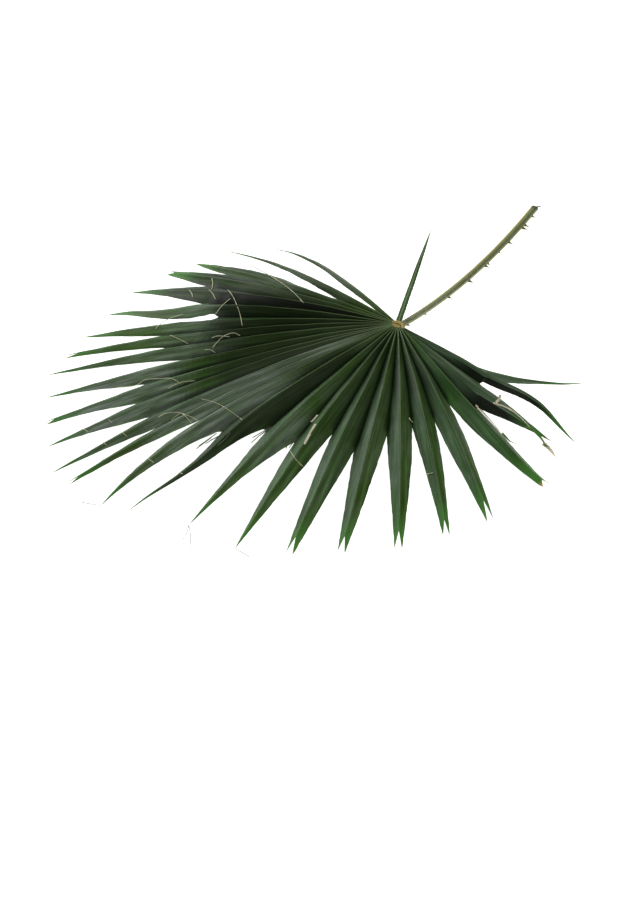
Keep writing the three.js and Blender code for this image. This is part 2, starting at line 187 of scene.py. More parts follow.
NICK_TO = 5 * MM
BLADE_SEED = 4
SHARP_ANGLE = math.radians(32)
FLAT_MAP = "across_along"  # the UV map of every piece, in metres
# The finish per face: a random tone, painted shade, and painted sheen that is partly wax.
FACE_LOOKS = ("tone", "dark", "wax_and_sheen")  # values that each face of the blade has for its finish

# The stalk and its thorns.
STALK_TURN = math.radians(62.5)
STALK_ALONG = Vector((math.cos(STALK_TURN), math.sin(STALK_TURN), 0))
STALK_RIGHT = Vector((math.sin(STALK_TURN), -math.cos(STALK_TURN), 0))
STALK_LENGTH = 347.5 * MM
STALK_FLAT = 0.94
STALK_FALL = 1.9
STALK_TOP = 65.8 * MM
STALK_LOW = 2.7 * MM
STALK_HALF_WIDTH = 4.3 * MM
STALK_HALF_THICK = 2.75 * MM
STALK_SQUARENESS = 0.72  # power that turns the round section into one with flatter faces
STALK_TUCK = 4 * MM
STALK_TUCK_SIZE = 0.55
STALK_STATIONS = 150
STALK_SIDES = 28
STALK_KNOB_SIZE = 0.25 * MM
STALK_KNOB_SCALE = 330
STALK_KNOBS_FADE = (0.02, 0.09)  # metres from the hub, between which they get lower
STALK_KNOBS_LOSE = 0.7
STALK_CUT_DEPTH = 0.6 * MM  # of the hollow in the cut end
THORNS_RIGHT = (16, 60, 120, 171, 213, 219, 248, 273, 307, 313, 332)
THORNS_LEFT = (34, 82, 136, 180, 222, 246)
THORN_LENGTH = 6 * MM
THORN_SINK = 1.6 * MM
THORN_ROOT = 3 * MM
THORN_TIP = 0.05
THORN_FLATNESS = 0.6
THORN_HOOK = 1.3 * MM
THORN_ROWS = 9
THORN_SIDES = 10
THORN_FLARE = 1.7  # power by which the root spreads
THORN_DOWN_RIGHT = 0.3
THORN_DOWN_LEFT = 1.5
THORN_SIZES_RIGHT = (0.9, 0.75, 1, 1.2, 1.1)
THORN_SIZES_LEFT = (0.8, 0.9)

# The tan ridge over the hub.
RIDGE_CENTRE = HUB + Vector((-3.5, -8.5, 1.4)) * MM
RIDGE_RADIUS = 9.9 * MM
RIDGE_FROM = -18
RIDGE_TO = 108
RIDGE_HALF_WIDTH = 2.3 * MM
RIDGE_HALF_HEIGHT = 1.1 * MM
RIDGE_END_SIZE = 0.7
RIDGE_STATIONS = 40
RIDGE_SIDES = 14
RIDGE_ROUGHNESS = 0.35 * MM
RIDGE_GRAIN = 700
RIDGE_MAP_STEP = 0.5 * MM  # on the UV map, between its rows and between its columns

# The photograph's view. A pixel is one of its 640 by 905 pixels.
IMAGE_WIDTH = 640
IMAGE_HEIGHT = 905
PIXEL = 1.15 * MM
HUB_PIXEL = (398, 323)
ELEVATION = math.radians(38)
CAMERA_RIGHT = Vector((1, 0, 0))
CAMERA_UP = Vector((0, math.sin(ELEVATION), math.cos(ELEVATION)))
CAMERA_AHEAD = Vector((0, math.cos(ELEVATION), -math.sin(ELEVATION)))
LENS = 1150  # millimetres, so long that the view has next to no perspective
SENSOR = 36
LEAF_MIDDLE_DEPTH = -0.11  # depth of the leaf's middle, from the hub


def lerp(a, b, share):
    return a + (b - a) * share


def smooth(value, low, high):
    share = min(max((value - low) / (high - low), 0), 1)
    return share * share * (3 - 2 * share)


def segment(row):
    """A row of the table in metres and degrees."""
    start, end, bend, arch, length, split, half_width, fork, lift, narrowing, bow = row
    return Segment(start, end, bend, arch, length * MM, split * MM, half_width * MM, fork * MM,
                   lift * MM, narrowing, bow)


joined = [segment(row) for row in SEGMENT_ROWS]
lone = segment(LONE_ROW)


def crest(seg, share):
    """A point of a segment's crest. Share runs from 0 on the ring to 1 at the tip."""
    reach = lerp(RING_RADIUS, seg.length, share)
    way = reach / seg.length
    bow = seg.bow * math.sin(math.pi * smooth(way, BOW_FROM, 1))
    turn = math.radians(lerp(seg.start, seg.end, way ** seg.bend) + bow)
    tip = TIP_HEIGHT + seg.lift
    height = tip + (HUB.z - tip) * (1 - way ** seg.arch)
    return Vector((HUB.x + reach * math.cos(turn), HUB.y + reach * math.sin(turn), height))


def fold_slope(seg, share):
    """The fall of a flank per unit across: steep near the hub, opening towards the tip."""
    opened = lerp(FOLD_LEFT, FOLD_RIGHT, smooth(seg.end, LEFT_DIRECTION, RIGHT_DIRECTION))
    at_hub = FOLD_LONE if seg is lone else FOLD_AT_HUB
    return lerp(at_hub, opened, smooth(share, OPENS_FROM, OPENS_TO))


def valley(left, right, share):
    """A point of the valley between two neighbours."""
    a = crest(left, share)
    b = crest(right, share)
    half = math.hypot(a.x - b.x, a.y - b.y) / 2
    point = (a + b) / 2
    slope = (fold_slope(left, share) + fold_slope(right, share)) / 2
    point.z = max(point.z - slope * half, LOWEST)
    return point


def split_share(k):
    """Up to which share a joined segment and the next one are still joined."""
    length = (joined[k].length + joined[k + 1].length) / 2
    return (joined[k].split - RING_RADIUS) / (length - RING_RADIUS)


def crest_frame(seg, share, side):
    """A crest's point and its level directions along and across, across to the given side."""
    point = crest(seg, share)
    along = crest(seg, share + LOOK_AHEAD) - point
    along.z = 0
    along.normalize()
    return point, along, Vector((-along.y * side, along.x * side, 0))


def taper(seg, share, start):
    """How the half width runs out towards the tip, on a side that is free from start on."""
    at_tip = FORK_WIDTH if seg.fork > 0 else 0
    out = max((share - start) / (1 - start), 0)
    return lerp(1, at_tip, out ** seg.narrowing)


def free_edge(seg, share, side, across, along=0):
    """A point of an edge that has no neighbour there, with its small teeth."""
    point, ahead, sideways = crest_frame(seg, share, side)
    nick = NICK_SIZE * noise.noise(point * NICK_SCALE) * smooth(across, NICK_FROM, NICK_TO)
    edge = point + sideways * (across + nick) + ahead * along
    edge.z = max(point.z - fold_slope(seg, share) * across, LOWEST)
    return edge


def margin(k, side, share):
    """The outer edge of one flank of a joined segment."""
    seg = joined[k]
    neighbour = joined[k + side]
    start = split_share(k if side > 0 else k - 1)
    if share <= start:
        return valley(seg, neighbour, share)
    point, ahead, sideways = crest_frame(seg, start, side)
    offset = valley(seg, neighbour, start) - point
    along = offset.dot(ahead) * (1 - (share - start) / (1 - start))
    root = offset.dot(sideways)
    settle = SETTLE_IN if root > seg.half_width else SETTLE_OUT
    settled = smooth(share, start, start + settle * (1 - start))
    across = lerp(root, seg.half_width, settled) * taper(seg, share, start)
    return free_edge(seg, share, side, across, along)


def open_edge(seg, side, root, share):
    """The outer edge of a flank that has no neighbour at all. Root is its width on the ring."""
    rise = lerp(root, 1, smooth(share, 0, OPEN_SWELL))
    across = seg.half_width * rise * taper(seg, max(share, OPEN_TAPER), OPEN_TAPER)
    return free_edge(seg, share, side, across)


def relief(point):
    """The sheet's small unevenness at a place: soft waves, and creases where it has been bent."""
    from_hub = Vector((point.x - HUB.x, point.y - HUB.y))
    turn = math.degrees(math.atan2(from_hub.y, from_hub.x)) % 360
    reach = from_hub.length
    strip = smooth(reach, CRUMPLE_FROM, lerp(CRUMPLE_FROM, CRUMPLE_TO, CRUMPLE_EASE))
    strip *= 1 - smooth(reach, lerp(CRUMPLE_FROM, CRUMPLE_TO, 1 - CRUMPLE_EASE), CRUMPLE_TO)
    arc = smooth(turn, CRUMPLE_LEFT, CRUMPLE_LEFT + CRUMPLE_TURN)
    arc *= 1 - smooth(turn, CRUMPLE_RIGHT - CRUMPLE_TURN, CRUMPLE_RIGHT)
    waves = WAVE_SIZE * noise.noise(point * WAVE_SCALE) * smooth(reach, WAVE_FROM, WAVE_TO)
    creases = CRUMPLE_SIZE * strip * arc * noise.noise(point * CRUMPLE_SCALE)
    return waves + creases


def new_shell(*point_values):
    """An empty bmesh with the UV map that the finishes read and with named values per point."""
    bm = bmesh.new()
    bm.loops.layers.uv.new(FLAT_MAP)
    for name in point_values:
        bm.verts.layers.float.new(name)
    return bm


def patch(bm, rows, columns, place):
    """Adds a grid, moves each of its points to place(row, column) and returns its faces."""
    made = bmesh.ops.create_grid(bm, x_segments=columns - 1, y_segments=rows - 1, size=0.5)
    verts = made["verts"]
    spots = {}
    for vert in verts:
        column = round((vert.co.x + 0.5) * (columns - 1))
        row = round((vert.co.y + 0.5) * (rows - 1))
        spots[vert] = (row, column)
    for vert, (row, column) in spots.items():
        vert.co = place(row, column)
    faces = {face for vert in verts for face in vert.link_faces}
    return spots, faces


def map_patch(bm, spots, faces, chart):
    """Gives each corner of a patch the UV place chart(row, column), in metres."""
    layer = bm.loops.layers.uv[FLAT_MAP]
    for face in faces:
        for loop in face.loops:
            loop[layer].uv = chart(*spots[loop.vert])


class Flank:
    """One half of a segment, between its crest and its outer edge.

    Rows run from the hub's centre over the ring to the tip, columns from the crest outwards.
    """

    def __init__(self, seg, side, edge, split):
        """Edge gives the outer edge's point at a share, and split is the share joined there."""
        self.seg = seg
        self.side = side
        self.split = split
        split_station = max(1, round(split * STATIONS)) if split > 0 else 0
        fork_share = 1 - seg.fork / seg.length
        self.inner = []
        self.outer = []
        self.shares = []
        for i in range(STATIONS + 1):
            share = i / STATIONS
            outer_share = share
            if split_station > 0 and i <= split_station:
                outer_share = split * i / split_station
            elif split_station > 0:
                outer_share = lerp(split, 1, (i - split_station) / (STATIONS - split_station))
            self.shares.append(outer_share)
            self.outer.append(edge(outer_share))
            self.inner.append(crest(seg, share))
        if seg.fork > 0:
            self.open_fork(fork_share)

    def open_fork(self, fork_share):
        """Past the fork the inner edge leaves the crest and runs to the outer point."""
        first = math.floor(fork_share * STATIONS)
        start = crest(self.seg, fork_share)
        for i in range(first, STATIONS + 1):
            way = (i - first) / (STATIONS - first)
            self.inner[i] = start.lerp(self.outer[STATIONS], way)

    def place(self, row, column):
        station = max(row - len(FAN_SHARES), 0)
        inner = self.inner[station]
        outer = self.outer[station]
        width = (outer - inner).length
        across = COLUMNS[column]
        point = inner.lerp(outer, across)
        point.z += SWELL * width * 4 * across * (1 - across)
        rib = RIB_HEIGHT * max(0, 1 - across * width / RIB_REACH) * smooth(width, 0, RIB_FULL)
        point.z += rib + relief(point)
        if row < len(FAN_SHARES):
            point = HUB.lerp(point, FAN_SHARES[row])
        return point

    def chart(self, row, column):
        """Metres across from the crest, with the sign of the side, and along."""
        station = max(row - len(FAN_SHARES), 0)
        width = (self.outer[station] - self.inner[station]).length
        along = lerp(RING_RADIUS, self.seg.length, station / STATIONS)
        if row < len(FAN_SHARES):
            width *= FAN_SHARES[row]
            along = RING_RADIUS * FAN_SHARES[row]
        return (self.side * width * COLUMNS[column], along)

    def tip_distance(self, row, column):
        station = max(row - len(FAN_SHARES), 0)
        share = lerp(station / STATIONS, self.shares[station], COLUMNS[column])
        return (1 - share) * self.seg.length

    def valley_closeness(self, row, column):
        """1 in a valley, 0 on a crest and along a free edge."""
        station = max(row - len(FAN_SHARES), 0)
        before, after = VALLEY_FADES
        free = smooth(self.shares[station], self.split + before, self.split + after)
        return COLUMNS[column] ** 2 * (1 - free)

    def add(self, bm, tone):
        rows = len(FAN_SHARES) + STATIONS + 1
        spots, faces = patch(bm, rows, len(COLUMNS), self.place)
        map_patch(bm, spots, faces, self.chart)
        tip = bm.verts.layers.float["tip_distance"]
        hollow = bm.verts.layers.float["valley"]
        for vert, (row, column) in spots.items():
            vert[tip] = self.tip_distance(row, column)
            vert[hollow] = self.valley_closeness(row, column)
        tones, painted_shades, wax_and_sheens = (bm.faces.layers.float[name] for name in FACE_LOOKS)
        for face in faces:
            station = max(0, max(spots[vert][0] for vert in face.verts) - len(FAN_SHARES))
            along = lerp(RING_RADIUS, self.seg.length, station / STATIONS)
            across = COLUMNS[max(spots[vert][1] for vert in face.verts)]
            face[tones] = tone
            # The painted shade and the painted sheen, partly wax, that the arcs give this face.
            face[painted_shades] = arc_strength(self.seg, self.side, along, across, PAINTED_SHADE_ARCS)
            face[wax_and_sheens] = arc_strength(self.seg, self.side, along, across, WAX_AND_SHEEN_ARCS)


def arc_strength(seg, side, along, across, arcs):
    """How strongly the arcs of a list mark a segment's flank at a place on it."""
    total = 0
    for at, first, last, near, far, share, strength in arcs:
        if at == side and first <= seg.start <= last and across > share:
            begun = smooth(along, near * MM - ARC_EASE, near * MM + ARC_EASE)
            ended = smooth(along, far * MM - ARC_EASE, far * MM + ARC_EASE)
            total += strength * begun * (1 - ended)
    return min(total, 1)


def rim_points(first, last, radius, start, end):
    """The hub's bare edge from one flank's ring point to another's, with even steps between."""
    steps = math.ceil((end - start) / RIM_STEP)
    turns = [math.radians(lerp(start, end, i / max(steps, 1))) for i in range(steps + 1)]
    between = [HUB + Vector((math.cos(t), math.sin(t), 0)) * radius for t in turns]
    return [first, *between, last]


def add_rim(bm, points):
    """The flat part of the hub inside a bare edge."""
    shares = (*FAN_SHARES, 1)
    patch(bm, len(shares), len(points), lambda row, column: HUB.lerp(points[column], shares[row]))


def close_sheet(bm, drop):
    """Merges the patches and gives the sheet its thickness, straight down."""
    bmesh.ops.remove_doubles(bm, verts=bm.verts, dist=SHEET_MERGE)
    bmesh.ops.recalc_face_normals(bm, faces=bm.faces)
    under = bm.verts.layers.float.new("underside")
    sheet = list(bm.faces)
    bmesh.ops.extrude_face_region(bm, geom=sheet, use_keep_orig=True)
    lower = {vert for face in sheet for vert in face.verts}
    for vert in lower:
        vert.co.z -= drop
        vert[under] = 1
    bmesh.ops.recalc_face_normals(bm, faces=bm.faces)


def finish_mesh(bm, name, material, replaced=None):
    """Makes a piece of a bmesh: smooth but for its sharp edges, and riding on the one body."""
    for face in bm.faces:
        face.smooth = True
    for edge in bm.edges:
        edge.smooth = edge.calc_face_angle(0) < SHARP_ANGLE
    mesh = bpy.data.meshes.new(name)
    bm.to_mesh(mesh)
    bm.free()
    mesh.materials.append(material)
    piece = bpy.data.objects.new(name, mesh)
    bpy.context.scene.collection.objects.link(piece)
    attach(piece, "root")
    if replaced:
        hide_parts(replaced)
    return piece


def blade_sheet():
    """Every flank of the joined segments and of the lone one, and the hub's flat parts."""
    bm = new_shell("tip_distance", "valley")
    for look in FACE_LOOKS:
        bm.faces.layers.float.new(look)
    draw = random.Random(BLADE_SEED)
    last = len(joined) - 1
    flanks = []
    for k, seg in enumerate(joined):
        tone = draw.random()
        before = split_share(k - 1) if k > 0 else 0
        after = split_share(k) if k < last else 0
        for side, split in ((-1, before), (1, after)):
            edge = partial(margin, k, side) if split > 0 else partial(open_edge, seg, side, OPEN_ROOT)
            flank = Flank(seg, side, edge, split)
            flank.add(bm, tone)
            flanks.append(flank)
    for side in (-1, 1):
        flank = Flank(lone, side, partial(open_edge, lone, side, LONE_ROOT), 0)
        flank.add(bm, draw.random())
        flanks.append(flank)
    ring = [flank.place(len(FAN_SHARES), len(COLUMNS) - 1) for flank in flanks]
    gap = (joined[0].start - lone.start) / 2
    add_rim(bm, rim_points(ring[-3], ring[-2], RIM_RADIUS, joined[last].start + RIM_STEP,
                           lone.start + 360 - RIM_STEP))
    add_rim(bm, rim_points(ring[-1], ring[0], RING_RADIUS, lone.start + gap, joined[0].start - gap))
    return bm


class Shader:
    """Adds nodes to a node tree. An input takes a plain value or another node's output."""

    def __init__(self, tree):
        self.nodes = tree.nodes
        self.links = tree.links

    def fill(self, made, inputs):
        for name, value in inputs.items():
            if isinstance(value, bpy.types.NodeSocket):
                self.links.new(value, made.inputs[name])
            else:
                made.inputs[name].default_value = value

    def node(self, kind, inputs=None, output=0, **settings):
        made = self.nodes.new(kind)
        for name, value in settings.items():
            setattr(made, name, value)
        self.fill(made, inputs or {})
        return made.outputs[output]

    def group(self, tree, inputs, output):
        made = self.nodes.new("ShaderNodeGroup")
        made.node_tree = tree
        self.fill(made, inputs)
        return made.outputs[output]

    def math(self, operation, a, b=0.0, c=0.0, clamp=False):
        return self.node("ShaderNodeMath", {0: a, 1: b, 2: c}, operation=operation, use_clamp=clamp)

    def blend(self, factor, a, b, mode="MIX"):
        """A mix of two colours, which are the Mix node's inputs 6 and 7 and its output 2."""
        inputs = {0: factor, 6: a, 7: b}
        return self.node("ShaderNodeMix", inputs, 2, data_type="RGBA", blend_type=mode)

    def cover(self, base, mask, strength, colour):
        """A colour laid over a base where a mask says, at a strength."""
        return self.blend(self.math("MULTIPLY", mask, strength), base, colour)

    def band(self, value, low, high):
        """0 at low and 1 at high, eased between them."""
        inputs = {"Value": value, "From Min": low, "From Max": high}
        return self.node("ShaderNodeMapRange", inputs, interpolation_type="SMOOTHSTEP")

    def ramp(self, value, low, high, at_low, at_high):
        """A straight run from one value at low to another at high."""
        inputs = {"Value": value, "From Min": low, "From Max": high, "To Min": at_low, "To Max": at_high}
        return self.node("ShaderNodeMapRange", inputs)

    def scaled(self, vector, x, y, z=1.0):
        return self.node("ShaderNodeMapping", {"Vector": vector, "Scale": (x, y, z)})

    def noise(self, vector, scale, detail=2.0):
        return self.node("ShaderNodeTexNoise", {"Vector": vector, "Scale": scale, "Detail": detail})

    def attribute(self, name):
        return self.node("ShaderNodeAttribute", output=2, attribute_name=name)

    def flat_map(self):
        return self.node("ShaderNodeUVMap", uv_map=FLAT_MAP)

    def place(self):
        """The place on the object, in metres: the Texture Coordinate node's output 3."""
        return self.node("ShaderNodeTexCoord", output=3)

    def streaks(self, across=1.0):
        """Fibre streaks along a piece. Across is how fine they are."""
        return self.group(FIBRES, {"Map": self.flat_map(), "Across": across}, "Streaks")

    def blotches(self, place, scale, low, high):
        inputs = {"Place": place, "Scale": scale, "From": low, "To": high}
        return self.group(BLOTCHES, inputs, "Mask")

    def raised(self, height, strength, depth):
        return self.node("ShaderNodeBump", {"Height": height, "Strength": strength, "Distance": depth})


def effect(name, inputs, outputs):
    """An empty node group with named sockets, its input node and its output node."""
    tree = bpy.data.node_groups.new(name, "ShaderNodeTree")
    for label, kind, value in inputs:
        socket = tree.interface.new_socket(name=label, in_out="INPUT", socket_type=kind)
        socket.default_value = value
    for label, kind in outputs:
        tree.interface.new_socket(name=label, in_out="OUTPUT", socket_type=kind)
    return tree, tree.nodes.new("NodeGroupInput").outputs, tree.nodes.new("NodeGroupOutput").inputs


# Fibre streaks per metre, across and along.
FINE_FIBRES = (700, 9)
BROAD_FIBRES = (170, 14)


def fibre_effect():
    """Streaks along a leaf or a stalk: fine ones and broad ones, as a value round a half."""
    tree, given, result = effect(
        "fibre streaks",
        (("Map", "NodeSocketVector", (0, 0, 0)), ("Across", "NodeSocketFloat", 1.0)),
        (("Streaks", "NodeSocketFloat"), ("Broad", "NodeSocketFloat")),
    )
    shader = Shader(tree)
    fine = shader.noise(shader.scaled(given["Map"], *FINE_FIBRES), given["Across"], 2.0)
    broad = shader.noise(shader.scaled(given["Map"], *BROAD_FIBRES), given["Across"], 3.0)
    both = shader.math("MULTIPLY_ADD", fine, 0.5, shader.math("MULTIPLY", broad, 0.5))
    tree.links.new(both, result["Streaks"])
    tree.links.new(broad, result["Broad"])
    return tree


def blotch_effect():
    """Soft-edged blotches: a mask of the share of the surface that they cover."""
    tree, given, result = effect(
        "soft blotches",
        (("Place", "NodeSocketVector", (0, 0, 0)), ("Scale", "NodeSocketFloat", 30.0),
         ("From", "NodeSocketFloat", 0.5), ("To", "NodeSocketFloat", 0.7)),
        (("Mask", "NodeSocketFloat"),),
    )
    shader = Shader(tree)
    grain = shader.noise(given["Place"], given["Scale"], 4.0)
    tree.links.new(shader.band(grain, given["From"], given["To"]), result["Mask"])
    return tree


FIBRES = fibre_effect()
BLOTCHES = blotch_effect()


def new_material(name):
    material = bpy.data.materials.new(name)
    material.use_nodes = True
    surface = material.node_tree.nodes["Principled BSDF"]
    return material, Shader(material.node_tree), surface


# Finishes, as linear colours.
# DEEP_GREEN and WARM_GREEN are a segment's two sides: a bluer green as if lit and a yellower one as if
# shaded, a difference that is painted light and shade.
DEEP_GREEN = (0.041, 0.101, 0.029, 1)
WARM_GREEN = (0.054, 0.106, 0.021, 1)
FRESH_GREEN = (0.060, 0.150, 0.030, 1)
# A pale grey, laid on as painted sheen that is partly wax, and as wax in patches.
WAX_AND_SHEEN_GREY = (0.300, 0.360, 0.300, 1)
SHADE_GREEN = (0.009, 0.012, 0.007, 1)
# Painted shade in the valleys between the pleats.
PAINTED_VALLEY_SHADE = (0.006, 0.013, 0.004, 1)
CREST_PALE = (0.24, 0.34, 0.15, 1)
TIP_GREEN = (0.09, 0.29, 0.05, 1)
TIP_TAN = (0.62, 0.42, 0.18, 1)
UNDER_GREEN = (0.10, 0.14, 0.085, 1)
STALK_GREEN = (0.23, 0.28, 0.135, 1)
STALK_OLIVE = (0.145, 0.175, 0.07, 1)
STALK_YELLOW = (0.50, 0.46, 0.13, 1)
STALK_SPECKLE = (0.52, 0.54, 0.44, 1)
THORN_BROWN = (0.17, 0.17, 0.06, 1)
THORN_TAN = (0.45, 0.32, 0.14, 1)
CUT_GREEN = (0.09, 0.12, 0.06, 1)
RIDGE_TAN = (0.62, 0.50, 0.17, 1)
RIDGE_BROWN = (0.34, 0.24, 0.07, 1)
THREAD_PALE = (0.78, 0.80, 0.52, 1)
STRAW = (1.0, 0.92, 0.70, 1)
STRAW_DARK = (0.50, 0.40, 0.20, 1)
FRESH_SLIVER = (0.11, 0.30, 0.05, 1)
TORN_DARK = (0.035, 0.045, 0.025, 1)
TORN_PALE = (0.11, 0.14, 0.085, 1)
FLOOR_PALE = (0.86, 0.86, 0.85, 1)


# The blade's finish. Lengths are across from a crest, along from the hub, or from a tip, and a
# pair of limits goes from where a layer begins to where it is full. A cover is how much of the
# colour below a layer hides where it is full.
SIDE_SEAM = 0.3 * MM  # half the width in which a segment's two greens meet
TONE_COVER = 0.3
FRESH_STREAKS = (0.5, 0.68)
FRESH_COVER = 0.7
WAX_AND_SHEEN_FIBRES = (110, 16)  # streaks of the wax and painted sheen per metre, across and along
WAX_AND_SHEEN_STREAKS = (0.42, 0.62)
WAX_AND_SHEEN_STREAK_DEPTH = 0.6
WAX_PATCH_SCALE = 14
WAX_PATCHES = (0.45, 0.62)
WAX_PATCH_COVER = 0.2
WAX_AND_SHEEN_COVER = 0.85
FIBRE_SPREAD = (0.35, 0.65)  # fibre streaks that are darkest and palest
FIBRE_SHADE = (0.5, 1.5)  # what these do to the colour
VALLEY_SHADE = (0.15, 0.95)
VALLEY_SHADE_ON_SHEEN = (1.3, 0.1)  # sheen, partly wax, that hides a valley's painted shade, and that leaves it
VALLEY_SHADE_COVER = 0.85
CREST_LINE = (1.1 * MM, 0.3 * MM)
CREST_FADES = (0.03, 0.22)  # along, between which the crest line gets fainter
CREST_COVER = (0.75, 0.22)  # at these two places
HUB_TAN = (8 * MM, 5 * MM)
FRESH_TIP = (60 * MM, 6 * MM)
FRESH_TIP_COVER = 0.8
DRY_TIP = (2.5 * MM, 10 * MM)  # the shortest and the longest dry tip
DRY_TIP_FULL = 1 * MM
UNDERSIDE_COVER = 0.7
DRYNESS = (0.3, 1.4)  # wax with painted sheen, and broad streaks, together, from the glossiest to the dullest place
BLADE_ROUGHNESS = (0.36, 0.55)  # at these two
FIBRE_DEPTH = 0.35 * MM


def blade_green(shader, across, broad, tone):
    """Plain green with a tone and fresher broad streaks; the sides' two greens are painted light and
    shade.
    """
    # Painted light and shade: the clockwise side bluer as if lit, the anticlockwise side yellower as if
    # shaded.
    green = shader.blend(shader.band(across, -SIDE_SEAM, SIDE_SEAM), DEEP_GREEN, WARM_GREEN)
    green = shader.cover(green, tone, TONE_COVER, FRESH_GREEN)
    return shader.cover(green, shader.band(broad, *FRESH_STREAKS), FRESH_COVER, FRESH_GREEN)


def blade_wax_and_sheen(shader, wax_and_sheen):
    """Painted sheen, partly wax, streaky on the arcs' flanks, and some wax in patches elsewhere."""
    streaky = shader.blotches(shader.scaled(shader.flat_map(), *WAX_AND_SHEEN_FIBRES), 1.0, *WAX_AND_SHEEN_STREAKS)
    streaky = shader.math("MULTIPLY_ADD", streaky, WAX_AND_SHEEN_STREAK_DEPTH, 1 - WAX_AND_SHEEN_STREAK_DEPTH)
    patches = shader.blotches(shader.place(), WAX_PATCH_SCALE, *WAX_PATCHES)
    patchy = shader.math("MULTIPLY", patches, WAX_PATCH_COVER)
    return shader.math("MULTIPLY", streaky, shader.math("ADD", patchy, wax_and_sheen, clamp=True))


def blade_tip(shader, green, tip, tone):
    """Fresh green towards a segment's tip, and tan at its dry end."""
    green = shader.cover(green, shader.band(tip, *FRESH_TIP), FRESH_TIP_COVER, TIP_GREEN)
    dry_length = shader.ramp(tone, 0, 1, *DRY_TIP)
    return shader.blend(shader.band(tip, dry_length, DRY_TIP_FULL), green, TIP_TAN)


def blade_material():
    material, shader, surface = new_material("palm_blade")
    axes = shader.node("ShaderNodeSeparateXYZ", {"Vector": shader.flat_map()})
    along = axes.node.outputs[1]
    tone = shader.attribute("tone")
    wax_and_sheen = shader.attribute("wax_and_sheen")
    streaks = shader.streaks()
    broad = streaks.node.outputs["Broad"]

    wax_and_sheen_mask = blade_wax_and_sheen(shader, wax_and_sheen)
    green = blade_green(shader, axes, broad, tone)
    # Painted sheen, partly wax: the pale grey where the arcs say, streaky, and wax in patches.
    green = shader.cover(green, wax_and_sheen_mask, WAX_AND_SHEEN_COVER, WAX_AND_SHEEN_GREY)
    # Painted shade: the faces' dark value, from the arcs of painted shade, turns the green near-black.
    green = shader.blend(shader.attribute("dark"), green, SHADE_GREEN)
    shade = shader.ramp(streaks, *FIBRE_SPREAD, *FIBRE_SHADE)
    grey = shader.node("ShaderNodeCombineColor", {0: shade, 1: shade, 2: shade})
    green = shader.blend(1.0, green, grey, "MULTIPLY")
    # Painted shade deep in the valleys between the pleats, where shade falls.
    hollow = shader.band(shader.attribute("valley"), *VALLEY_SHADE)
    hollow = shader.math("MULTIPLY", hollow, shader.band(wax_and_sheen, *VALLEY_SHADE_ON_SHEEN))
    green = shader.cover(green, hollow, VALLEY_SHADE_COVER, PAINTED_VALLEY_SHADE)
    crest_line = shader.band(shader.math("ABSOLUTE", axes), *CREST_LINE)
    crest_fade = shader.ramp(along, *CREST_FADES, *CREST_COVER)
    green = shader.cover(green, crest_line, crest_fade, CREST_PALE)
    green = shader.blend(shader.band(along, *HUB_TAN), green, RIDGE_TAN)
    green = blade_tip(shader, green, shader.attribute("tip_distance"), tone)
    green = shader.cover(green, shader.attribute("underside"), UNDERSIDE_COVER, UNDER_GREEN)

    roughness = shader.ramp(shader.math("ADD", wax_and_sheen_mask, broad), *DRYNESS, *BLADE_ROUGHNESS)
    shader.links.new(green, surface.inputs["Base Color"])
    shader.links.new(roughness, surface.inputs["Roughness"])
    shader.links.new(shader.raised(streaks, 0.45, FIBRE_DEPTH), surface.inputs["Normal"])
    surface.inputs["Specular IOR Level"].default_value = 0.08
    return material


def stalk_middle(distance):
    """The stalk's middle at a distance from the hub: it falls steeply, then lies flat."""
    fall = max(0, 1 - distance / STALK_LENGTH / STALK_FLAT)
    height = lerp(STALK_LOW, STALK_TOP, fall ** STALK_FALL)
    return Vector((HUB.x, HUB.y, height)) + STALK_ALONG * distance


def flatter(value):
    """A sine or cosine turned towards a section with flatter faces."""
    return math.copysign(abs(value) ** STALK_SQUARENESS, value)


def stalk_distance(row):
    if row == 0:
        return -STALK_TUCK
    return STALK_LENGTH * (min(row, STALK_STATIONS + 1) - 1) / STALK_STATIONS


def stalk_place(row, column):
    """A point of the stalk's skin. The last row closes the cut end, a little hollow."""
    distance = stalk_distance(row)
    size = STALK_TUCK_SIZE if row == 0 else 1
    middle = stalk_middle(distance)
    if row == STALK_STATIONS + 2:
        return middle - STALK_ALONG * STALK_CUT_DEPTH
    turn = 2 * math.pi * column / STALK_SIDES
    right = -STALK_HALF_WIDTH * flatter(math.cos(turn)) * size
    up = STALK_HALF_THICK * flatter(math.sin(turn)) * size
    point = middle + STALK_RIGHT * right + UP * up
    fade = 1 - smooth(distance, *STALK_KNOBS_FADE) * STALK_KNOBS_LOSE
    knob = STALK_KNOB_SIZE * noise.noise(point * STALK_KNOB_SCALE) * fade
    return point + (point - middle).normalized() * knob


